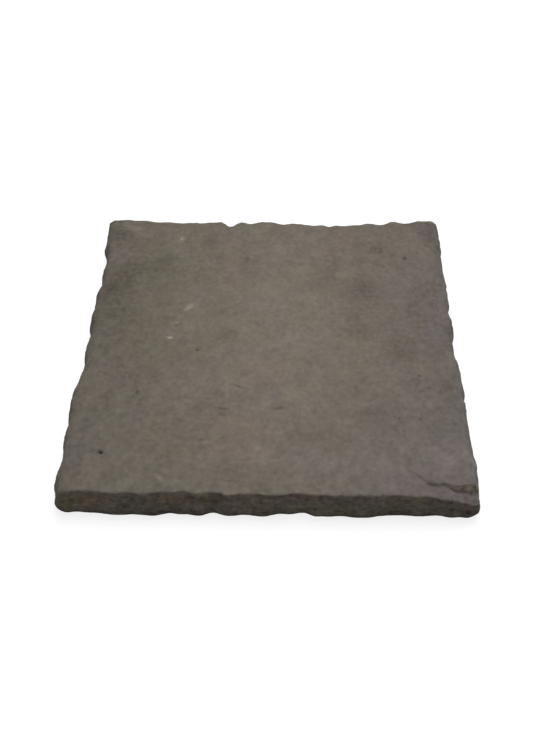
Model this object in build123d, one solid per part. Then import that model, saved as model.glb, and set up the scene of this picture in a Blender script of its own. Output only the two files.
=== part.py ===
from build123d import *

import os
from math import cos, exp, hypot, pi, sin

# Wet-cast concrete paving slab, cast in a riven mould with dressed edges, in millimetres.
# It lies flat with its riven face up. The origin is the centre of its bed face, X runs to
# the right and Y runs away from the front edge, which carries the broken corner.

# Whole slab, at the crests of its edges
PLAN_WIDTH = 450.0
PLAN_DEPTH = 450.0
THICKNESS = 38.0
FRONT_CORNER_RADIUS = 20.0
BACK_CORNER_RADIUS = 12.0
ARRIS_CORNER_RADIUS = 8.0

# Foot of the wall, rounded where it meets the bed face
FOOT_HEIGHT = 9.0
FOOT_ROUND = 4.5

# Dressed edges: spacing of the stations along the wall, and the wander of its surface
STATION_SPACING = 9.0
EDGE_WANDER = 0.4
WANDER_LENGTH = 37.0

# Riven face: spacing of its grid, its ripples, and its fall to the rim
RIVEN_SPACING = 18.0
RIVEN_RIPPLE = 0.35
RIPPLE_LENGTH = 96.0
RIM_FALL = 0.9
RIM_WIDTH = 16.0

# Layer broken off the front right corner: a ledge that falls to the right edge, ever more
# steeply, and a riser that leans back from it to the face
FLAKE_LENGTH = 84.0
FLAKE_WIDTH = 20.5
FLAKE_START = 0.8
FLAKE_DROP = 18.5
FLAKE_STEADY = 0.14
LEDGE_FALL = 0.15
LEDGE_RIPPLE = 0.3
LEDGE_RIPPLE_LENGTH = 19.0
LEDGE_SPACING = 8.0
RISER_SLOPE = 0.4

# Line of the riser in the face: shares of the flake's length in from the right edge, and
# how far each point stands further back than the flake is wide
RISER_LINE = [
    (-0.2, 4.6), (0.12, 4.0), (0.38, 0.2), (0.55, 2.6), (0.68, 1.4), (0.76, 5.2), (0.88, 14.0),
    (1.0, 20.0),
]

# How far the block stands above the riven face before that is split off, and how far the
# cutting solids reach past the slab
BLOCK_OVER = 1.5
CLEAR = 12.0

# Places on the slab are shares of its half length, from -1 at the left or front end to 1


class Side:
    """One edge of the slab: how its wall leans and bows, how its arris rolls in, its flakes.

    A flake is a shallow scoop struck off the wall. It has a place along the side, a half
    width, and a depth at the foot and at the arris.
    """

    def __init__(self, batter, roll_in, roll_height, bow, flakes):
        self.batter = batter
        self.roll_in = roll_in
        self.roll_height = roll_height
        self.bow = bow
        self.flakes = flakes

    def inset(self, z):
        """How far the wall stands inside the mould at height z, without its flakes."""
        foot = max(0.0, 1.0 - z / FOOT_HEIGHT)
        lean = max(0.0, z - FOOT_HEIGHT) / (THICKNESS - FOOT_HEIGHT)
        roll = max(0.0, z - (THICKNESS - self.roll_height)) / self.roll_height
        return FOOT_ROUND * foot ** 2 + self.batter * lean + self.roll_in * roll ** 2

    def bite(self, place, half_length, z):
        """How deep the bow and the deepest flake go at this place, at height z."""
        rise = min(1.0, z / THICKNESS)
        deepest = 0.0
        for centre, half_width, low, high in self.flakes:
            reach = (place - centre) * half_length / half_width
            depth = (low + (high - low) * rise) * max(0.0, 1.0 - reach ** 2)
            deepest = max(deepest, depth)
        return self.bow * (1.0 - place ** 2) + deepest


FRONT = Side(
    batter=6.4, roll_in=0.3, roll_height=3.0, bow=0.0,
    flakes=[
        (-0.84, 28, 3.3, 2.4), (-0.63, 15, 1.0, 0.9), (-0.44, 15, 2.4, 2.2),
        (-0.37, 12, 2.0, 2.6), (-0.235, 13, 4.0, 2.6), (-0.09, 15, 1.8, 2.6),
        (0.08, 16.5, 4.4, 1.0), (0.16, 17, 4.9, 3.0), (0.25, 15, 1.7, 0.5),
        (0.35, 18, 1.8, 0.6), (0.58, 24, 3.9, 1.4), (0.67, 13, 3.9, 0.8),
        (0.765, 21, 4.0, 0.8), (0.855, 14, 2.6, 0.4), (0.94, 12, 1.2, 0.4),
    ],
)
RIGHT = Side(
    batter=8.0, roll_in=6.5, roll_height=7.0, bow=1.0,
    flakes=[
        (-0.90, 25, 3.5, 2.8), (-0.70, 18, 2.8, 2.2), (-0.57, 20, 4.0, 3.4),
        (-0.46, 16, 1.7, 1.7), (-0.36, 16, 2.4, 2.0), (-0.22, 11, 1.2, 1.2),
        (-0.01, 35, 4.2, 4.6), (0.06, 11, 5.6, 6.2), (0.26, 24, 3.6, 3.4),
        (0.37, 11, 1.2, 1.6), (0.50, 13, 0.8, 2.0), (0.60, 15, 2.4, 2.6),
        (0.73, 15, 3.0, 2.4),
    ],
)
BACK = Side(
    batter=2.6, roll_in=9.0, roll_height=6.0, bow=4.5,
    flakes=[
        (-0.92, 12, 0.8, 2.0), (-0.80, 9, 0.8, 1.2), (-0.66, 26, 1.6, 3.2),
        (-0.60, 8, 1.2, 4.2), (-0.54, 13, 1.8, 4.6), (-0.44, 15, 2.0, 4.8),
        (-0.35, 10, 0.8, 1.6), (-0.25, 11.5, 4.0, 10.4), (-0.13, 13, 1.6, 4.0),
        (0.07, 17, 1.8, 4.6), (0.24, 33, 2.6, 6.8), (0.322, 9.5, 4.0, 10.8),
        (0.43, 37, 3.0, 8.4), (0.63, 15, 2.4, 7.4), (0.78, 13, 1.6, 5.0),
    ],
)
LEFT = Side(
    batter=8.0, roll_in=6.5, roll_height=7.0, bow=0.0,
    flakes=[
        (-0.98, 28, 6.3, 5.6), (-0.85, 13, 0.5, 2.6), (-0.73, 29, 4.4, 4.4),
        (-0.535, 23, 3.0, 3.2), (-0.17, 40, 6.5, 6.8), (0.07, 32, 6.8, 6.8),
        (0.26, 34, 4.8, 5.0), (0.46, 29, 8.4, 8.2), (0.65, 38, 7.2, 6.8),
        (0.84, 20, 1.9, 1.8),
    ],
)

# Broad hollows of the riven face: place across and along the plan, radius, depth
HOLLOWS = [
    (-0.74, 0.42, 95.0, 1.0), (-0.36, -0.52, 70.0, 0.6), (0.50, 0.38, 80.0, 0.8),
    (0.52, -0.48, 75.0, 0.9), (-0.30, 0.24, 60.0, 0.5), (0.10, -0.86, 60.0, 0.7),
]

# Blowholes in the riven face: place across and along the plan, mouth radius, depth
BLOWHOLES = [
    (-0.774, -0.743, 2.6, 2.2), (-0.646, -0.382, 1.7, 1.5), (-0.369, -0.088, 1.5, 1.3),
    (0.750, 0.625, 1.7, 1.5), (0.752, -0.255, 1.7, 1.4),
]
BLOWHOLE_FLOOR = 0.6
BLOWHOLE_SIDES = 9


def wander(along, z):
    """Uneven surface that the dressing leaves, the same on every build."""
    turn = 2 * pi / WANDER_LENGTH
    wave = sin(turn * along + 0.08 * z) + 0.5 * sin(1.7 * turn * along - 0.12 * z)
    return EDGE_WANDER * (1.5 + wave)


def corner_arc(last, first, along):
    """Arc round a corner, from the end of the side that runs this way to the next one's start."""
    # The square corner is where the lines of the two sides would meet
    corner_x = first[0] if along[0] else last[0]
    corner_y = last[1] if along[0] else first[1]
    share = 1.0 - cos(pi / 4)
    middle_x = corner_x + share * (last[0] + first[0] - 2 * corner_x)
    middle_y = corner_y + share * (last[1] + first[1] - 2 * corner_y)
    return Edge.make_three_point_arc(last, (middle_x, middle_y, last[2]), first)


def wall_outline(z):
    """Closed wire round the wall at height z: a spline along each side, an arc at each corner."""
    left = -PLAN_WIDTH / 2 + LEFT.inset(z)
    right = PLAN_WIDTH / 2 - RIGHT.inset(z)
    front = -PLAN_DEPTH / 2 + FRONT.inset(z)
    back = PLAN_DEPTH / 2 - BACK.inset(z)
    # The corners get sharper from the bed up to the arris
    rise = min(1.0, z / THICKNESS)
    near = FRONT_CORNER_RADIUS + (ARRIS_CORNER_RADIUS - FRONT_CORNER_RADIUS) * rise
    far = BACK_CORNER_RADIUS + (ARRIS_CORNER_RADIUS - BACK_CORNER_RADIUS) * rise
    # Each side, counterclockwise: its start corner and radius, its end corner and radius,
    # its direction, and the mould's length there
    runs = [
        (FRONT, (left, front), near, (right, front), near, (1, 0), PLAN_WIDTH),
        (RIGHT, (right, front), near, (right, back), far, (0, 1), PLAN_DEPTH),
        (BACK, (right, back), far, (left, back), far, (-1, 0), PLAN_WIDTH),
        (LEFT, (left, back), far, (left, front), near, (0, -1), PLAN_DEPTH),
    ]
    sides = []
    travelled = 0.0
    for side, start, start_radius, end, end_radius, along, mould in runs:
        inward = (-along[1], along[0])
        length = hypot(end[0] - start[0], end[1] - start[1]) - start_radius - end_radius
        count = max(4, round(mould / STATION_SPACING))
        points = []
        for i in range(count + 1):
            run = start_radius + length * i / count
            x = start[0] + along[0] * run
            y = start[1] + along[1] * run
            place = 2 * (x if along[0] else y) / mould
            depth = side.bite(place, mould / 2, z) + wander(travelled + mould * i / count, z)
            points.append((x + inward[0] * depth, y + inward[1] * depth, z))
        sides.append((points, along))
        travelled += mould
    edges = []
    for i, (points, along) in enumerate(sides):
        knots = [j / (len(points) - 1) for j in range(len(points))]
        edges.append(Edge.make_spline(points, parameters=knots))
        following, _ = sides[(i + 1) % len(sides)]
        edges.append(corner_arc(points[-1], following[0], along))
    return Wire(edges)


def dressed_block():
    """Block lofted through the wall's outlines, from the bed to just above the riven face."""
    roll_start = THICKNESS - max(side.roll_height for side in (FRONT, RIGHT, BACK, LEFT))
    heights = [
        0.0, FOOT_HEIGHT / 2, FOOT_HEIGHT, roll_start, (roll_start + THICKNESS) / 2,
        THICKNESS + BLOCK_OVER,
    ]
    return Solid.make_loft([wall_outline(z) for z in heights], ruled=True)


def riven_height(x, y):
    """Height of the riven face above the bed."""
    drop = 0.0
    for across, along, radius, depth in HOLLOWS:
        away = hypot(x - across * PLAN_WIDTH / 2, y - along * PLAN_DEPTH / 2) / radius
        drop += depth * exp(-away ** 2)
    turn = 2 * pi / RIPPLE_LENGTH
    ripple = 1.0 + 0.5 * sin(turn * (x + 0.6 * y)) + 0.5 * sin(1.7 * turn * (y - 0.35 * x) + 1.0)
    to_rim = min(PLAN_WIDTH / 2 - abs(x), PLAN_DEPTH / 2 - abs(y))
    rim = max(0.0, 1.0 - max(0.0, to_rim) / RIM_WIDTH)
    return THICKNESS - drop - RIVEN_RIPPLE * ripple - RIM_FALL * rim ** 2


def spans(start, end, spacing):
    """Evenly spaced values from start to end, about the spacing apart."""
    count = max(4, round((end - start) / spacing))
    return [start + (end - start) * i / count for i in range(count + 1)]


def over_surface(xs, ys, height):
    """Everything above a surface given by its height over the plan."""
    points = [[(x, y, height(x, y)) for x in xs] for y in ys]
    surface = Face.make_surface_from_array_of_points(points, tol=0.02)
    return extrude(surface, amount=THICKNESS, dir=(0, 0, 1))


def above_riven_face():
    """What is split off the block to leave the riven face."""
    half_x = PLAN_WIDTH / 2 + CLEAR
    half_y = PLAN_DEPTH / 2 + CLEAR
    xs = spans(-half_x, half_x, RIVEN_SPACING)
    ys = spans(-half_y, half_y, RIVEN_SPACING)
    return over_surface(xs, ys, riven_height)


def in_front_of_riser():
    """Block in front of the riser, which leans back as it rises through the riven face."""
    wires = []
    for z in (THICKNESS - FLAKE_START - 1.4 * FLAKE_DROP, THICKNESS + CLEAR):
        line = []
        for share, back in RISER_LINE:
            x = PLAN_WIDTH / 2 - share * FLAKE_LENGTH
            y = -PLAN_DEPTH / 2 + FLAKE_WIDTH + back + RISER_SLOPE * (z - THICKNESS)
            line.append((x, y, z))
        open_y = -PLAN_DEPTH / 2 - CLEAR
        corners = [line[-1], (line[-1][0], open_y, z), (line[0][0], open_y, z), line[0]]
        edges = [Edge.make_spline(line)]
        edges += [Edge.make_line(u, v) for u, v in zip(corners, corners[1:])]
        wires.append(Wire(edges))
    return Solid.make_loft(wires, ruled=True)


def ledge_height(x, y):
    """Height of the broken ledge: deepest at the right edge, hardly below the face to the left."""
    share = 1.0 - min(1.0, max(0.0, (PLAN_WIDTH / 2 - x) / FLAKE_LENGTH))
    fall = FLAKE_STEADY * share + (1.0 - FLAKE_STEADY) * share ** 3
    forward = -PLAN_DEPTH / 2 + FLAKE_WIDTH - y
    wave = sin(2 * pi * (x + 0.7 * y) / LEDGE_RIPPLE_LENGTH)
    uneven = (LEDGE_FALL * forward + LEDGE_RIPPLE * wave) * share
    return THICKNESS - FLAKE_START - FLAKE_DROP * fall - uneven


def broken_corner():
    """What has split off the front right corner along a layer of the concrete."""
    xs = spans(PLAN_WIDTH / 2 - FLAKE_LENGTH - CLEAR, PLAN_WIDTH / 2 + 2 * CLEAR, LEDGE_SPACING)
    ys = spans(-PLAN_DEPTH / 2 - 2 * CLEAR, -PLAN_DEPTH / 2 + FLAKE_LENGTH, LEDGE_SPACING)
    return in_front_of_riser() & over_surface(xs, ys, ledge_height)


def blowholes():
    """Bubble marks: small ragged cups that narrow from the mouth to the floor."""
    cups = []
    for across, along, mouth, depth in BLOWHOLES:
        x = across * PLAN_WIDTH / 2
        y = along * PLAN_DEPTH / 2
        floor = Pos(0, 0, -depth) * RegularPolygon(BLOWHOLE_FLOOR * mouth, BLOWHOLE_SIDES)
        flare = Pos(0, 0, depth) * RegularPolygon((2.0 - BLOWHOLE_FLOOR) * mouth, BLOWHOLE_SIDES)
        cups.append(Pos(x, y, riven_height(x, y)) * loft([floor, flare]))
    return cups


slab = dressed_block() - above_riven_face() - broken_corner() - blowholes()

os.makedirs("parts", exist_ok=True)
export_step(slab, "parts/slab.step")
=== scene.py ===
import math

import bmesh
import bpy
from mathutils import Matrix, Vector


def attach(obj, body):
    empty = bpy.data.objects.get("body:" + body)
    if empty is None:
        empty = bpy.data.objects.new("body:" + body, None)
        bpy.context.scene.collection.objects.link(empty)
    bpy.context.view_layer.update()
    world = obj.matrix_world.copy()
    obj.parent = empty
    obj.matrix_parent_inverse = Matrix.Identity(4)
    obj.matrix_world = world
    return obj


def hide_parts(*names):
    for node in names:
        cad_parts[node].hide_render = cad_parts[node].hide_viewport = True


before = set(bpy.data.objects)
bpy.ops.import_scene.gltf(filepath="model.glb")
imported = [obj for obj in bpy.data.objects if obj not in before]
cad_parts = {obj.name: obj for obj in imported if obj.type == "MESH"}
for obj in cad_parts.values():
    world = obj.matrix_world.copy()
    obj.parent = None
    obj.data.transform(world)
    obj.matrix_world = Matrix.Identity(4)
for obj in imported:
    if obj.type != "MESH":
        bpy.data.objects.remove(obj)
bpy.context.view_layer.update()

# Riven concrete paving slab on a pale floor. The lists of marks are in millimetres on the
# slab's plan, with 0, 0 at its centre and the front edge at the negative y end. Other
# lengths are metres, unless a comment says otherwise.

MM = 0.001

# Camera: place in millimetres, angles in radians, and focal length in pixels of a frame
# with this many along its long side
CAMERA_PLACE = (18.78, -708.15, 777.83)
CAMERA_DOWN = 0.8449
CAMERA_TURN = -0.0323
CAMERA_ROLL = -0.0155
CAMERA_FOCAL = 876.0
FRAME_LONG_SIDE = 741

# Lamp, the room's light on the slab, and the floor: its half width, its grey under the
# light and to the camera, and its glow to the camera, which makes it look white
LAMP_PLACE = (0.25, 0.75, 2.2)
LAMP_WIDTH = 1.6
LAMP_POWER = 34.0
ROOM_LIGHT = 0.39
FLOOR_REACH = 6.0
FLOOR_GREY = 0.34
FLOOR_GREY_SEEN = 0.30
FLOOR_GLOW_SEEN = 0.80

# Mesh: corners this close are one, the even skin's spacing, and the share of it that is kept
SAME_CORNER = 1e-6
SKIN_SPACING = 0.0015
KEPT_SHARE = 0.45

# Depths and sizes of the relief, by the names of its tree's inputs
RELIEF = {
    "Riven depth": 0.0016, "Riven size": 0.055, "Grain depth": 0.0003, "Grain size": 0.0045,
    "Dressing depth": 0.0020, "Dressing size": 0.015, "Bed depth": 0.0004, "Bed size": 0.060,
    "Seed": 4.0,
}

# The riven face is partly levelled into terraces: how many, and the share that is levelled
TERRACES = 9.0
LEVELLED = 0.55

# Stretches of the relief's noises along x, y and z
RIVEN_STRETCH = (1.0, 1.35, 1.0)
SCOOP_STRETCH = (1.0, 1.0, 0.8)
GRIT_STRETCH = (3.2, 3.2, 3.2)
BED_STRETCH = (1.0, 0.45, 1.0)

# Scoops of the dressed sides: how hollow they are, the depth that lies level with the
# solid, and the grit's share
SCOOP_HOLLOW = 1.6
SCOOP_LEVEL = 0.42
GRIT_SHARE = 0.9

# Spans: where each begins and ends, then the values there if they aren't 0 and 1. The first
# five are of the surface normal's part along z, or along y for the front, and the others are
# of places along x, y or z
RELIEF_FACE = (0.55, 0.92)
RELIEF_BED = (-0.6, -0.95)
FACE_LEAN = (0.30, 0.62)
BED_LEAN = (-0.60, -0.90)
FRONT_LEAN = (-0.35, -0.65)
DRESSING_FOOT = (0.004, 0.014, 0.25, 1.0)
CHIPPED_RIM = (0.206, 0.219)
BACK_RIM = (0.196, 0.217)
# The right rim's span, where the face and the wall are painted paler, as painted light
COOL_LIT_RIGHT_RIM = (0.205, 0.219, 0.0, 0.85)
# The wall's foot's span, darker as painted shade
SHADED_WALL_FOOT = (0.001, 0.021, 0.64, 1.0)

# Colours of the concrete, linear
BODY_COLOUR = (0.1575, 0.1365, 0.1095)
OLIVE = (0.150, 0.133, 0.094)
MAUVE = (0.164, 0.138, 0.134)
BROWN = (0.160, 0.122, 0.089)
ROSE = (0.170, 0.135, 0.110)
# Front wall: darker partly by the concrete's own colour and partly as painted shade
FRONT_COLOUR_AND_SHADE = (0.137, 0.116, 0.092)
RIM_COLOUR = (0.168, 0.154, 0.134)
# Right rim and right wall: paler and cooler, the paleness being painted light
COOL_LIT_RIM = (0.176, 0.165, 0.154)
COOL_LIT_WALL = (0.255, 0.240, 0.224)
# Riser colour: paler than the concrete's own, as painted light
LIT_RISER_COLOUR = (0.270, 0.235, 0.175)
BED_COLOUR = (0.190, 0.172, 0.146)
LIME = (0.42, 0.39, 0.33)
PIT_SHADE = (0.028, 0.025, 0.020)

# The face drifts between these multipliers of its colour, and the bed between these shares
# of its own
LESS_RED = (0.984, 1.006, 0.994)
MORE_RED = (1.016, 0.994, 1.006)
BED_DARK = 0.80
BED_PALE = 1.20

# Changes of the riven face's tone: in a pock, along a wrinkle, over the chips of the rim and
# all along the back rim
POCK_TONE = -0.13
WRINKLE_TONE = -0.075
CHIP_TONE = 1.1
BACK_RIM_TONE = -0.07

# Mottling of the riven face, coarse to fine: size, seed, detail, roughness, share of tone
FACE_MOTTLES = [
    (0.045, 3.0, 3.0, 0.60, 0.24), (0.022, 7.0, 2.0, 0.50, 0.34), (0.011, 5.0, 2.0, 0.60, 0.52),
    (0.0060, 9.0, 3.0, 0.60, 0.75),
]

# Grit of the dressed sides: how many times flatter than it is long, then as above
WALL_GRIT = [
    (1.0, 0.026, 41.0, 2.0, 0.60, 0.50), (2.6, 0.012, 43.0, 2.0, 0.60, 1.40),
    (1.0, 0.0055, 45.0, 3.0, 0.65, 1.75),
]

# Other noises of the material: size, seed, detail, roughness
WRINKLES = (0.045, 63.0, 2.0, 0.55)
WRINKLED_PATCHES = (0.030, 65.0, 1.0, 0.5)
RIM_CHIPS = (0.008, 51.0, 3.0, 0.65)
MAUVE_DRIFT = (0.028, 21.0, 2.0, 0.5)
RUST_DRIFT = (0.024, 33.0, 2.0, 0.5)
RAGGED_STAINS = (0.009, 47.0, 3.0, 0.65)
RAGGED_FLECKS = (0.0040, 13.0, 2.0, 0.6)
BED_CLOUDS = (0.050, 71.0, 3.0, 0.6)
FINE_GRAIN = (0.0016, 17.0, 3.0, 0.7)

# Pocks: spacing and seed. Wrinkles: how many there are to one unit of their noise
POCKS = (0.012, 61.0)
WRINKLE_COUNT = 8.0

# Spans of those noises, and of a cell's colour, the distance to its pock and the distance
# to a wrinkle
PATCH_SPAN = (0.48, 0.62)
MAUVE_SPAN = (0.40, 0.72, 0.0, 0.28)
RUST_SPAN = (0.30, 0.70)
STAIN_SPAN = (0.32, 0.68, 0.15, 1.15)
FLECK_SPAN = (0.28, 0.62, 0.25, 1.0)
POCK_HERE = (0.45, 0.55)
POCK_REACH = (0.10, 0.34, 1.0, 0.0)
WRINKLE_REACH = (0.0, 0.13, 1.0, 0.0)

# Bump of the finest grain
BUMP_HEIGHT = 0.0006
BUMP_STRENGTH = 0.55

# Matt surface
ROUGHNESS = 0.92
SPECULAR = 0.25

# Riser of the broken corner, painted paler as painted light: x, y, angle, half length,
# half width, and the share of them that has its full colour
LIT_RISER_PLACE = (186, -204, 0, 27, 12, 0.75)

# Share of a score and of a pit that has its full depth, share of a score that has its full
# shade, and how strong that shade is for its depth
SCORE_FLOOR = 0.2
PIT_FLOOR = 0.1
SCORE_SHADE_FLOOR = 0.1
SCORE_SHADE = 0.9

# Broad tones of the riven face: x, y, angle, half length, half width, share brighter
TONES = [
    # The whole face is palest about its middle
    (16, -10, 88, 340, 190, 0.22), (-206, 60, 86, 230, 84, -0.11),
    # Dark ground on the left, at the far left corner and over the front arris
    (-188, 84, 70, 38, 28, -0.25), (-172, 118, 20, 44, 24, -0.12), (-136, 132, 15, 30, 24, -0.08),
    (-140, 72, 30, 30, 22, -0.08), (-175, 40, 20, 36, 24, -0.08), (-196, 182, 70, 40, 26, -0.14),
    (-205, 60, 90, 130, 22, -0.05), (-216, 196, 80, 46, 26, -0.12), (-110, -208, -30, 11, 7, -0.18),
    (-165, 160, 0, 36, 24, -0.06), (-80, 176, 78, 26, 15, -0.16),
    (-150, -66, 45, 50, 22, -0.07), (-196, -160, 80, 60, 26, -0.09), (-206, -196, 30, 26, 18, -0.10),
    # Dark places about the middle
    (-34, 134, 80, 24, 12, -0.12), (-46, 92, -30, 22, 10, -0.07), (-48, 4, 20, 24, 17, -0.10),
    (-26, -90, -30, 30, 14, -0.09), (-100, -130, 10, 30, 22, -0.06), (50, -144, 10, 40, 16, -0.08),
    (-60, -104, 0, 26, 12, -0.05), (10, -106, 10, 20, 10, -0.06), (84, 60, 80, 50, 16, -0.04),
    # Dark ground on the right
    (214, 158, 88, 66, 16, -0.08),
    (116, 84, 30, 34, 27, -0.10), (76, 128, 75, 32, 17, -0.13), (108, 12, 10, 34, 22, -0.12),
    (156, -18, -10, 46, 28, -0.11), (182, 62, 80, 50, 26, -0.11), (206, 192, 80, 44, 26, -0.24),
    (116, -108, 10, 36, 20, -0.14), (96, -82, 10, 30, 16, -0.08), (200, -80, 80, 60, 20, -0.05),
    (116, 90, 40, 46, 36, -0.12), (68, 98, 85, 46, 17, -0.11), (100, -12, 0, 28, 17, -0.07),
    (102, 56, 80, 70, 50, -0.09), (190, 40, 85, 90, 34, -0.05),
    # Smaller dark places all over, and the darker rims
    (-186, 170, 60, 30, 18, -0.06),
    (122, -84, 0, 26, 22, -0.07), (80, 188, 85, 17, 12, -0.07), (-74, 164, 80, 24, 12, -0.08),
    (-38, 118, 80, 15, 10, -0.10), (-176, -156, 20, 24, 16, -0.08), (-146, -32, 60, 17, 10, -0.08),
    (192, -214, -5, 36, 9, -0.08), (-150, -88, 70, 24, 14, -0.05), (-196, -30, 88, 250, 60, -0.04),
    (214, 0, 88, 250, 60, -0.03), (138, 40, 20, 40, 32, -0.08), (150, 118, 80, 44, 28, -0.05),
    (135, 158, 80, 30, 14, -0.05), (78, 190, 80, 24, 14, -0.08), (208, 110, 80, 60, 14, -0.08),
    # Pale places
    (-92, -202, 0, 22, 9, 0.04),
    (25, 0, 40, 17, 12, 0.12), (-34, -36, 70, 44, 24, 0.05), (6, 82, 70, 60, 26, 0.05),
    (-118, 6, 75, 32, 11, 0.09), (-92, 58, 40, 34, 12, 0.09), (-50, 72, 5, 34, 9, 0.05),
    (-92, -86, 20, 40, 26, 0.05), (14, -86, 10, 34, 16, 0.06), (10, -172, -8, 90, 16, 0.07),
    (196, -166, 60, 50, 26, 0.13), (150, -160, -10, 44, 26, 0.06), (-90, -64, 0, 44, 40, 0.04),
    (0, 196, 0, 60, 14, 0.04), (-118, 176, 80, 20, 12, 0.10), (-184, 200, -10, 24, 12, 0.22),
    (150, -184, -10, 46, 14, 0.05), (152, 110, 80, 40, 14, 0.06), (90, 150, 60, 20, 12, 0.03),
    (-90, -64, 20, 36, 21, 0.07), (-24, -64, 40, 28, 15, 0.06), (-20, -172, 0, 52, 18, 0.04),
    (184, -174, 0, 46, 22, 0.05), (-66, -176, 0, 50, 16, 0.05), (108, -176, -5, 70, 26, 0.06),
    (-60, -126, 0, 60, 30, 0.04), (24, -56, 80, 44, 20, 0.04), (20, 150, 80, 60, 26, 0.03),
]

# Tints of the riven face: x, y, angle, half length, half width, strength
OLIVE_PLACES = [
    (-150, 80, 70, 150, 100, 0.60), (-110, 180, 0, 100, 60, 0.40), (-112, -160, 30, 66, 50, 0.40),
    (-70, 30, 80, 140, 90, 0.30), (-136, -30, 75, 60, 34, 0.35), (30, 60, 80, 110, 60, 0.25),
    (198, -199, 0, 14, 6, 0.80), (-16, 182, 0, 30, 16, 0.30), (-110, -203, 0, 17, 12, 0.70),
    (213, 160, 88, 64, 15, 0.55),
]
MAUVE_PLACES = [
    (240, -190, 40, 290, 210, 0.72), (215, 70, 85, 170, 110, 0.42), (196, 18, 80, 40, 24, 0.45),
    (62, 18, 80, 30, 16, 0.25), (-196, -150, 80, 60, 34, 0.30), (60, -178, -6, 120, 22, 0.25),
    (-212, 120, 88, 110, 16, 0.40), (190, -213, 0, 44, 12, 0.50),
]
BROWN_PLACES = [
    (80, 192, 0, 30, 14, 0.55), (76, 134, 80, 28, 16, 0.25), (50, -144, 0, 40, 22, 0.25),
    (158, -20, 10, 40, 24, 0.25), (190, 84, 80, 40, 18, 0.35), (-36, 134, 80, 70, 50, 0.22),
    (-130, 60, 75, 130, 60, 0.12),
]
ROSE_PLACES = [
    (84, 176, 0, 86, 46, 0.55), (-50, 140, 80, 80, 50, 0.40), (-56, 96, 0, 50, 24, 0.35),
    (-36, -138, 10, 90, 60, 0.60), (0, -52, 0, 64, 34, 0.45), (70, 104, 85, 34, 18, 0.45),
    (-118, -50, 0, 22, 20, 0.40),
]

# Pale flecks of lime bloom: x, y, angle, half length, half width, strength
LIME_FLECKS = [
    (-98, 51, 42, 13, 6.5, 0.50), (-107, 34, 50, 10, 4, 0.16), (-112, 24, 30, 9, 4, 0.28),
    (-117, -1, 0, 5.6, 3.6, 0.90), (-117, 176, 80, 10, 6, 0.42), (-111, 190, 0, 5, 4, 0.20),
    (-190, 204, 0, 8, 5, 0.16), (-180, 198, 0, 14, 6, 0.22), (-10, -160, 20, 7, 4, 0.16),
    (-64, -153, 10, 7, 2.5, 0.16), (-108, -199, -38, 10, 4.2, 0.24), (-91, -202, 4, 14, 4, 0.15),
    (-142, 44, 0, 5, 3, 0.12), (-86, 64, 35, 12, 2, 0.12),
]

# Tints of the front wall: x, height, angle, half length, half height, then red, green and
# blue as shares of the wall's own colour
FRONT_PATCHES = [
    (-184, 25, 0, 28, 13, 0.34, 0.02, -0.10), (-206, 17, 0, 13, 12, -0.22, -0.06, -0.38),
    (-138, 23, 0, 24, 15, -0.18, -0.09, 0.00), (-100, 29, 0, 32, 7, 0.24, 0.06, -0.12),
    (-56, 28, 0, 22, 12, 0.04, -0.08, -0.26), (-32, 25, -75, 15, 6, 0.36, 0.30, 0.42),
    (-10, 20, 0, 28, 19, 0.26, 0.20, 0.22), (40, 32, 0, 28, 6, 0.16, -0.10, 0.00),
    (52, 20, 0, 46, 10, 0.04, 0.14, 0.00), (78, 14, 60, 13, 9, 0.22, 0.26, 0.14),
    (104, 31, -30, 19, 5, 0.36, 0.14, 0.32), (142, 31, 0, 22, 6, 0.26, 0.06, -0.36),
    (190, 20, 0, 42, 17, -0.16, -0.16, -0.06), (206, 21, 0, 9, 7, 0.26, -0.10, -0.02),
    # The next two long low patches darken the wall's foot, as painted shade
    (-110, 9, 0, 95, 9, -0.20, -0.16, -0.04), (140, 9, 0, 85, 8, -0.24, -0.22, -0.12),
    (128, 20, 80, 12, 12, -0.14, -0.06, -0.20), (22, 18, 0, 16, 6, 0.16, 0.18, 0.14),
]

# Short dark scores across the riven face: x, y, angle, half length, half width, and depth,
# which also says how dark they are
SCORES = [
    (-50, -107, -8, 12, 2.8, 0.48), (-49, -115, -12, 10, 3.2, 0.32), (12, -106, 10, 11, 3.6, 0.42),
    (-33, -75, -24, 15, 3.0, 0.32), (-70, -150, 0, 5, 1.8, 0.45), (-36, -202, -4, 9, 1.6, 0.40),
    (-30, 139, 0, 7, 3, 0.35), (-38, 57, 40, 4, 2, 0.30), (-146, -82, 60, 3.5, 2, 0.40),
    (133, 160, 80, 5, 2, 0.30), (-104, -70, 20, 5, 2, 0.25), (-20, -80, -20, 6, 1.2, 0.25),
    (149, -188, -30, 9, 2.4, 0.20), (157, -194, -45, 9, 2.6, 0.45), (164, -200.5, -42, 6, 2.2, 0.35),
    (170, -202.8, -3, 8, 3.0, 0.75), (180, -201.8, 0, 8, 2.0, 0.35), (190, -207, -22, 8, 2.0, 0.50),
    (201, -207, 8, 12, 1.8, 0.40), (209, -206, 80, 6, 1.8, 0.50),
]

# Open pits in the riven face: x, y, angle, half length, half width, and depth,
# which also says how dark they are
PITS = [
    (-174, -167, -35, 5.6, 4.2, 1.0), (-145, -85, 70, 4.6, 3.6, 0.55), (-150, -91, 40, 4.4, 2.4, 0.25),
    (-83, -20, 0, 3.8, 3.6, 0.62), (169, 141, 80, 5.4, 4.2, 0.75), (140, 155, 85, 7.0, 4.0, 0.42),
    (169, -57, 0, 3.6, 3.4, 0.50), (142, -118, 0, 3.4, 2.8, 0.45), (164, -119, 0, 3.4, 2.8, 0.40),
    (178, -75, 0, 3.2, 2.4, 0.40), (-128, -62, 20, 5.0, 3.2, 0.25), (-140, -96, 50, 5.0, 3.0, 0.25),
    (-66, -64, 0, 5.0, 3.0, 0.20), (146, -136, 0, 4.0, 3.0, 0.30), (-177, -150, 0, 7.0, 4.0, 0.22),
]


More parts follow.
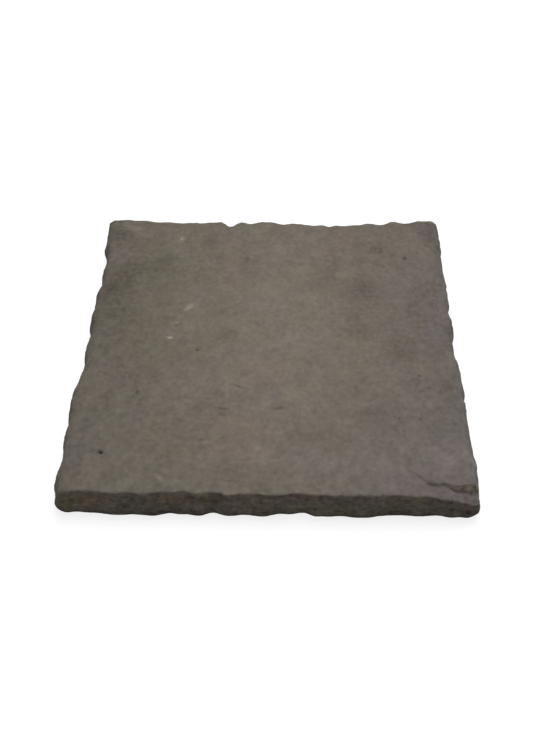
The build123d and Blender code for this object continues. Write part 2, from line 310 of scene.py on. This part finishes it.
class Graph:
    """Adds nodes to a tree and joins them from plain values or from other nodes' outputs."""

    def __init__(self, tree):
        self.tree = tree

    def node(self, kind, inputs=None, **settings):
        made = self.tree.nodes.new(kind)
        for name, value in settings.items():
            setattr(made, name, value)
        for key, value in (inputs or {}).items():
            self.join(made.inputs[key], value)
        return made

    def join(self, socket, value):
        if isinstance(value, bpy.types.NodeSocket):
            self.tree.links.new(value, socket)
        else:
            socket.default_value = value

    def math(self, operation, *values, clamp=False):
        made = self.node("ShaderNodeMath", dict(enumerate(values)), operation=operation, use_clamp=clamp)
        return made.outputs[0]

    def vector(self, operation, *values):
        made = self.node("ShaderNodeVectorMath", dict(enumerate(values)), operation=operation)
        return made.outputs["Value" if operation == "LENGTH" else "Vector"]

    def scale(self, vector, factor):
        """The vector or colour times a number."""
        made = self.node("ShaderNodeVectorMath", {0: vector, "Scale": factor}, operation="SCALE")
        return made.outputs[0]

    def parts(self, vector):
        """The vector's X, Y and Z."""
        return self.node("ShaderNodeSeparateXYZ", {0: vector}).outputs

    def span(self, value, low, high, to_low=0.0, to_high=1.0, smooth=True):
        """The value's place between low and high, eased, as a number from to_low to to_high."""
        made = self.node(
            "ShaderNodeMapRange",
            {"Value": value, "From Min": low, "From Max": high, "To Min": to_low, "To Max": to_high},
            interpolation_type="SMOOTHSTEP" if smooth else "LINEAR",
        )
        return made.outputs["Result"]

    def noise(self, place, size, seed, detail, rough):
        """Noise from 0 to 1 whose lumps are about this size across."""
        made = self.node(
            "ShaderNodeTexNoise",
            {"Vector": place, "W": seed, "Scale": 1.0 / size, "Detail": detail, "Roughness": rough},
            noise_dimensions="4D",
        )
        return made.outputs[0]

    def lumps(self, place, size, seed, detail, rough):
        """The same noise, from -0.5 to 0.5."""
        return self.math("SUBTRACT", self.noise(place, size, seed, detail, rough), 0.5)

    def cells(self, place, size, seed):
        """Points scattered about this far apart: distance to the nearest, and its colour."""
        made = self.node(
            "ShaderNodeTexVoronoi", {"Vector": place, "Scale": 1.0 / size}, voronoi_dimensions="4D"
        )
        self.join(made.inputs["W"], seed)
        return made.outputs

    def blend(self, share, first, second):
        """Colour between the first and the second."""
        made = self.node("ShaderNodeMix", data_type="RGBA", clamp_factor=True)
        for socket, value in ((made.inputs[0], share), (made.inputs[6], first), (made.inputs[7], second)):
            if isinstance(value, tuple):
                value = (*value, 1.0)
            self.join(socket, value)
        return made.outputs[2]

    def spot(self, place, x, y, angle, half_length, half_width, hard=0.0):
        """1 about a place on the plan, easing from the hard share of an ellipse to 0 at its rim."""
        moved = self.vector("SUBTRACT", place, (x * MM, y * MM, 0.0))
        turned = self.node(
            "ShaderNodeVectorRotate", {"Vector": moved, "Angle": math.radians(-angle)},
            rotation_type="Z_AXIS",
        ).outputs[0]
        reach = self.vector("MULTIPLY", turned, (1 / (half_length * MM), 1 / (half_width * MM), 0.0))
        return self.span(self.vector("LENGTH", reach), hard, 1.0, 1.0, 0.0)

    def spots(self, place, entries, hard=0.0, strength=1.0):
        """Sum of spots, each times the last number of its entry and the strength."""
        total = 0.0
        for *ellipse, amount in entries:
            mask = self.spot(place, *ellipse, hard)
            total = self.math("MULTIPLY_ADD", mask, strength * amount, total)
        return total


def graph_of(holder):
    """Graph of a material or world, with the nodes that came with it cleared away."""
    holder.use_nodes = True
    holder.node_tree.nodes.clear()
    return Graph(holder.node_tree)


def added(name, data):
    """New object in the scene with this data."""
    made = bpy.data.objects.new(name, data)
    bpy.context.scene.collection.objects.link(made)
    return made


def scaled_place(g, place, size, stretch):
    """Place in units of a size input, stretched along each axis."""
    return g.vector("MULTIPLY", g.scale(place, g.math("DIVIDE", 1.0, size)), stretch)


def riven_lift(g, place, entry):
    """Lift of the riven face: soft lumps, part of them levelled, under grain, scores and pits."""
    seed = entry["Seed"]
    warped = scaled_place(g, place, entry["Riven size"], RIVEN_STRETCH)
    lumps = g.noise(warped, 1.0, seed, 3.0, 0.48)
    steps = g.math("MULTIPLY", lumps, TERRACES)
    rise = g.span(g.math("FRACT", steps), 0.30, 0.70)
    terraces = g.math("DIVIDE", g.math("ADD", g.math("FLOOR", steps), rise), TERRACES)
    smooth = g.math("MULTIPLY", lumps, 1.0 - LEVELLED)
    mixed = g.math("ADD", smooth, g.math("MULTIPLY", terraces, LEVELLED))
    lift = g.math("MULTIPLY", g.math("SUBTRACT", mixed, 0.5), entry["Riven depth"])

    grain_place = scaled_place(g, place, entry["Grain size"], (1.0, 1.0, 1.0))
    grain = g.lumps(grain_place, 1.0, seed, 2.0, 0.6)
    lift = g.math("MULTIPLY_ADD", grain, entry["Grain depth"], lift)
    for marks, hard in ((SCORES, SCORE_FLOOR), (PITS, PIT_FLOOR)):
        lift = g.math("MULTIPLY_ADD", g.spots(place, marks, hard), -MM, lift)
    return lift


def dressed_swell(g, place, entry):
    """Swell of the dressed sides: scoops between standing ridges, broken up by grit."""
    seed = entry["Seed"]
    size = entry["Dressing size"]
    scoop = g.cells(scaled_place(g, place, size, SCOOP_STRETCH), 1.0, seed)["Distance"]
    grit = g.lumps(scaled_place(g, place, size, GRIT_STRETCH), 1.0, seed, 3.0, 0.6)
    rough = g.math("SUBTRACT", g.math("POWER", scoop, SCOOP_HOLLOW), SCOOP_LEVEL)
    rough = g.math("MULTIPLY_ADD", grit, GRIT_SHARE, rough)
    return g.math("MULTIPLY", rough, entry["Dressing depth"])


def bed_marks(g, place, entry):
    """Float marks of the bed, all of them inward from the flat."""
    bed_place = scaled_place(g, place, entry["Bed size"], BED_STRETCH)
    return g.math("MULTIPLY", g.noise(bed_place, 1.0, entry["Seed"], 2.0, 0.5), entry["Bed depth"])


def relief_tree():
    """Geometry Nodes tree that weathers the cast block: riven face, dressed sides, floated bed."""
    tree = bpy.data.node_groups.new("slab_relief", "GeometryNodeTree")
    ports = tree.interface
    ports.new_socket("Slab", in_out="INPUT", socket_type="NodeSocketGeometry")
    for name in RELIEF:
        ports.new_socket(name, in_out="INPUT", socket_type="NodeSocketFloat")
    ports.new_socket("Concrete", in_out="INPUT", socket_type="NodeSocketMaterial")
    ports.new_socket("Slab", in_out="OUTPUT", socket_type="NodeSocketGeometry")
    g = Graph(tree)
    entry = g.node("NodeGroupInput").outputs
    place = g.node("GeometryNodeInputPosition").outputs[0]
    normal = g.node("GeometryNodeInputNormal").outputs[0]
    lean = g.parts(normal)["Z"]
    upward = g.span(lean, *RELIEF_FACE)
    downward = g.span(lean, *RELIEF_BED)
    side = g.math("SUBTRACT", g.math("SUBTRACT", 1.0, upward), downward, clamp=True)

    # The dressing fades out toward the foot of the wall
    foot = g.span(g.parts(place)["Z"], *DRESSING_FOOT)
    swell = g.math("MULTIPLY", dressed_swell(g, place, entry), g.math("MULTIPLY", side, foot))
    marks = g.math("MULTIPLY", bed_marks(g, place, entry), downward)
    lift = g.math("MULTIPLY_ADD", riven_lift(g, place, entry), upward, marks)
    upright = g.node("ShaderNodeCombineXYZ", {"Z": lift}).outputs[0]
    offset = g.vector("ADD", upright, g.scale(normal, swell))
    moved = g.node("GeometryNodeSetPosition", {"Geometry": entry["Slab"], "Offset": offset})
    real = g.node("GeometryNodeRealizeInstances", {"Geometry": moved.outputs[0]})
    coated = g.node(
        "GeometryNodeSetMaterial", {"Geometry": real.outputs[0], "Material": entry["Concrete"]}
    )
    g.node("NodeGroupOutput", {0: coated.outputs[0]})
    return tree


def face_tone(g, place, across):
    """Tone of the riven face, 1 on the whole: broad places, mottling, pocks, wrinkles, rim."""
    tone = g.spots(place, TONES)
    for *mottle, share in FACE_MOTTLES:
        tone = g.math("MULTIPLY_ADD", g.lumps(place, *mottle), share, tone)

    # About half the cells hold a small soft pock
    pocks = g.cells(place, *POCKS)
    present = g.span(g.node("ShaderNodeSeparateColor", {0: pocks["Color"]}).outputs[0], *POCK_HERE)
    pock = g.math("MULTIPLY", g.span(pocks["Distance"], *POCK_REACH), present)
    tone = g.math("MULTIPLY_ADD", pock, POCK_TONE, tone)

    # Faint wrinkles, in patches, along the contours of a noise
    folds = g.math("FRACT", g.math("MULTIPLY", g.noise(place, *WRINKLES), WRINKLE_COUNT))
    fold = g.span(g.math("ABSOLUTE", g.math("SUBTRACT", folds, 0.5)), *WRINKLE_REACH)
    patchy = g.span(g.noise(place, *WRINKLED_PATCHES), *PATCH_SPAN)
    tone = g.math("MULTIPLY_ADD", g.math("MULTIPLY", fold, patchy), WRINKLE_TONE, tone)

    # The rim is chipped, so its tone changes quickly, and it is darker at the back
    reach = g.math("MAXIMUM", g.math("ABSOLUTE", across["X"]), g.math("ABSOLUTE", across["Y"]))
    chips = g.lumps(place, *RIM_CHIPS)
    chipped = g.math("MULTIPLY", chips, g.span(reach, *CHIPPED_RIM))
    tone = g.math("MULTIPLY_ADD", chipped, CHIP_TONE, tone)
    back = g.span(across["Y"], *BACK_RIM)
    tone = g.math("MULTIPLY_ADD", g.math("ADD", chips, BACK_RIM_TONE), back, tone)
    return g.math("ADD", tone, 1.0)


def face_colour(g, place, across, cool_lit_right):
    """Colour of the riven face, with its placed tints, its drifting hue, and its right rim painted paler
    and cooler as painted light.
    """
    colour = BODY_COLOUR
    for places, tint in (
        (OLIVE_PLACES, OLIVE), (MAUVE_PLACES, MAUVE), (BROWN_PLACES, BROWN), (ROSE_PLACES, ROSE),
    ):
        colour = g.blend(g.spots(place, places), colour, tint)
    mauve = g.span(g.noise(place, *MAUVE_DRIFT), *MAUVE_SPAN)
    colour = g.blend(mauve, colour, MAUVE)
    rust = g.span(g.noise(place, *RUST_DRIFT), *RUST_SPAN)
    drift = g.node("ShaderNodeMix", {0: rust, 4: LESS_RED, 5: MORE_RED}, data_type="VECTOR")
    colour = g.vector("MULTIPLY", colour, drift.outputs[1])
    # The right rim is painted paler and cooler, as painted light
    colour = g.blend(cool_lit_right, colour, COOL_LIT_RIM)
    return g.scale(colour, face_tone(g, place, across))


def wall_colour(g, place, across, facing, cool_lit_right):
    """Colour of the dressed sides: the front one stained and darker, partly as painted shade; the others
    cooler and paler, the right one by painted light; all with painted shade at the foot.
    """
    wall_place = g.node("ShaderNodeCombineXYZ", {"X": across["X"], "Y": across["Z"]}).outputs[0]
    stain = (0.0, 0.0, 0.0)
    for *ellipse, red, green, blue in FRONT_PATCHES:
        mask = g.spot(wall_place, *ellipse)
        stain = g.vector("ADD", stain, g.scale((red, green, blue), mask))
    ragged = g.span(g.noise(place, *RAGGED_STAINS), *STAIN_SPAN)
    stain = g.vector("ADD", g.scale(stain, ragged), (1.0, 1.0, 1.0))
    # The front wall's darker colour is partly painted shade
    front = g.vector("MULTIPLY", stain, FRONT_COLOUR_AND_SHADE)
    # The riser of the broken corner is painted paler than the dressed sides, as painted light
    front = g.blend(g.spot(place, *LIT_RISER_PLACE), front, LIT_RISER_COLOUR)

    frontward = g.span(facing["Y"], *FRONT_LEAN)
    colour = g.blend(frontward, RIM_COLOUR, front)
    # The right wall is painted paler and cooler, as painted light
    cool_lit_side = g.math("MULTIPLY", cool_lit_right, g.math("SUBTRACT", 1.0, frontward))
    colour = g.blend(cool_lit_side, colour, COOL_LIT_WALL)

    # Painted shade, darker toward the foot where the wall meets the floor, with coarse bright and dark
    # grit
    tone = g.span(across["Z"], *SHADED_WALL_FOOT)
    for flat, *grit, share in WALL_GRIT:
        streaked = g.vector("MULTIPLY", place, (1.0, 1.0, flat))
        tone = g.math("MULTIPLY_ADD", g.lumps(streaked, *grit), share, tone)
    return g.scale(colour, tone)


def bed_colour(g, place):
    """Colour of the bed, plain with a few soft clouds."""
    clouds = g.noise(place, *BED_CLOUDS)
    dark, pale = (tuple(share * c for c in BED_COLOUR) for share in (BED_DARK, BED_PALE))
    return g.blend(clouds, dark, pale)


def concrete_material():
    """Wet-cast concrete: mottled brown-grey face, darker dressed sides with painted shade on the front
    and at the foot and painted light on the right, lime flecks and pits.
    """
    material = bpy.data.materials.new("riven_concrete")
    g = graph_of(material)
    coordinates = g.node("ShaderNodeTexCoord").outputs
    place = coordinates["Object"]
    across = g.parts(place)
    facing = g.parts(coordinates["Normal"])
    upward = g.span(facing["Z"], *FACE_LEAN)
    bedward = g.span(facing["Z"], *BED_LEAN)
    # The right rim, painted paler on the face and the wall, as painted light
    cool_lit_right = g.span(across["X"], *COOL_LIT_RIGHT_RIM)

    below = g.blend(bedward, wall_colour(g, place, across, facing, cool_lit_right), bed_colour(g, place))
    colour = g.blend(upward, below, face_colour(g, place, across, cool_lit_right))

    # Ragged flecks of lime bloom
    flecks = g.spots(place, LIME_FLECKS)
    ragged = g.span(g.noise(place, *RAGGED_FLECKS), *FLECK_SPAN)
    flecks = g.math("MULTIPLY", flecks, ragged)
    colour = g.blend(g.math("MULTIPLY", flecks, upward), colour, LIME)

    # Shade in the scores and pits
    scores = g.spots(place, SCORES, SCORE_SHADE_FLOOR, SCORE_SHADE)
    shade = g.math("MAXIMUM", scores, g.spots(place, PITS))
    colour = g.blend(g.math("MULTIPLY", shade, upward), colour, PIT_SHADE)

    grain = g.noise(place, *FINE_GRAIN)
    bumped = g.node(
        "ShaderNodeBump", {"Height": grain, "Distance": BUMP_HEIGHT, "Strength": BUMP_STRENGTH}
    ).outputs[0]
    shader = g.node(
        "ShaderNodeBsdfPrincipled",
        {"Base Color": colour, "Roughness": ROUGHNESS, "Specular IOR Level": SPECULAR, "Normal": bumped},
    )
    g.node("ShaderNodeOutputMaterial", {"Surface": shader.outputs[0]})
    return material


def set_input(modifier, name, value):
    """Sets a Geometry Nodes input by its socket's identifier."""
    for item in modifier.node_group.interface.items_tree:
        if item.item_type == "SOCKET" and item.in_out == "INPUT" and item.name == name:
            modifier[item.identifier] = value


def merged_copy(node, name):
    """The CAD node's mesh in an object of its own, with its doubled corners merged."""
    shape = bmesh.new()
    shape.from_mesh(node.data)
    bmesh.ops.remove_doubles(shape, verts=shape.verts, dist=SAME_CORNER)
    mesh = bpy.data.meshes.new(name)
    shape.to_mesh(mesh)
    shape.free()
    return added(name, mesh)


def riven_slab(material):
    """The slab with its relief, as one plain mesh."""
    slab = merged_copy(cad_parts["slab"], "riven_slab")
    skin = slab.modifiers.new("even skin", "REMESH")
    skin.mode = "VOXEL"
    skin.voxel_size = SKIN_SPACING
    relief = slab.modifiers.new("relief", "NODES")
    relief.node_group = relief_tree()
    for name, value in (*RELIEF.items(), ("Concrete", material)):
        set_input(relief, name, value)
    thin = slab.modifiers.new("thinning", "DECIMATE")
    thin.ratio = KEPT_SHARE
    evaluated = slab.evaluated_get(bpy.context.evaluated_depsgraph_get())
    mesh = bpy.data.meshes.new_from_object(evaluated)
    slab.modifiers.clear()
    slab.data = mesh
    mesh.polygons.foreach_set("use_smooth", [True] * len(mesh.polygons))
    mesh.update()
    return slab


def pale_floor():
    """Pale floor that looks white to the camera and keeps the slab's soft shadow."""
    mesh = bpy.data.meshes.new("floor")
    r = FLOOR_REACH
    mesh.from_pydata([(-r, -r, 0), (r, -r, 0), (r, r, 0), (-r, r, 0)], [], [(0, 1, 2, 3)])
    floor = added("floor", mesh)
    material = bpy.data.materials.new("pale_floor")
    g = graph_of(material)
    seen = g.node("ShaderNodeLightPath").outputs["Is Camera Ray"]
    colour = g.blend(seen, (FLOOR_GREY,) * 3, (FLOOR_GREY_SEEN,) * 3)
    matt = g.node("ShaderNodeBsdfDiffuse", {"Color": colour}).outputs[0]
    strength = g.math("MULTIPLY", seen, FLOOR_GLOW_SEEN)
    glow = g.node("ShaderNodeEmission", {"Strength": strength}).outputs[0]
    both = g.node("ShaderNodeAddShader", {0: matt, 1: glow}).outputs[0]
    g.node("ShaderNodeOutputMaterial", {"Surface": both})
    mesh.materials.append(material)


def soft_light():
    """A wide soft lamp above and behind the slab, in a pale room."""
    lamp = bpy.data.lights.new("overhead", "AREA")
    lamp.shape = "DISK"
    lamp.size = LAMP_WIDTH
    lamp.energy = LAMP_POWER
    holder = added("overhead", lamp)
    holder.location = LAMP_PLACE
    holder.rotation_euler = (-holder.location).to_track_quat("-Z", "Y").to_euler()

    world = bpy.data.worlds.new("room")
    bpy.context.scene.world = world
    g = graph_of(world)
    seen = g.node("ShaderNodeLightPath").outputs["Is Camera Ray"]
    strength = g.span(seen, 0.0, 1.0, ROOM_LIGHT, 1.0, smooth=False)
    sky = g.node("ShaderNodeBackground", {"Color": (1.0, 1.0, 1.0, 1.0), "Strength": strength})
    g.node("ShaderNodeOutputWorld", {"Surface": sky.outputs[0]})


def photo_camera():
    """Camera at the photograph's place and angle."""
    camera = bpy.data.cameras.new("camera")
    camera.lens = CAMERA_FOCAL * camera.sensor_width / FRAME_LONG_SIDE
    holder = added("camera", camera)
    turn = (
        Matrix.Rotation(-CAMERA_TURN, 4, "Z")
        @ Matrix.Rotation(math.pi / 2 - CAMERA_DOWN, 4, "X")
        @ Matrix.Rotation(CAMERA_ROLL, 4, "Z")
    )
    holder.matrix_world = Matrix.Translation(Vector(CAMERA_PLACE) * MM) @ turn
    bpy.context.scene.camera = holder


photo_camera()
slab = riven_slab(concrete_material())
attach(slab, "root")
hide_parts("slab")
pale_floor()
soft_light()
bpy.context.scene.view_settings.view_transform = "Standard"
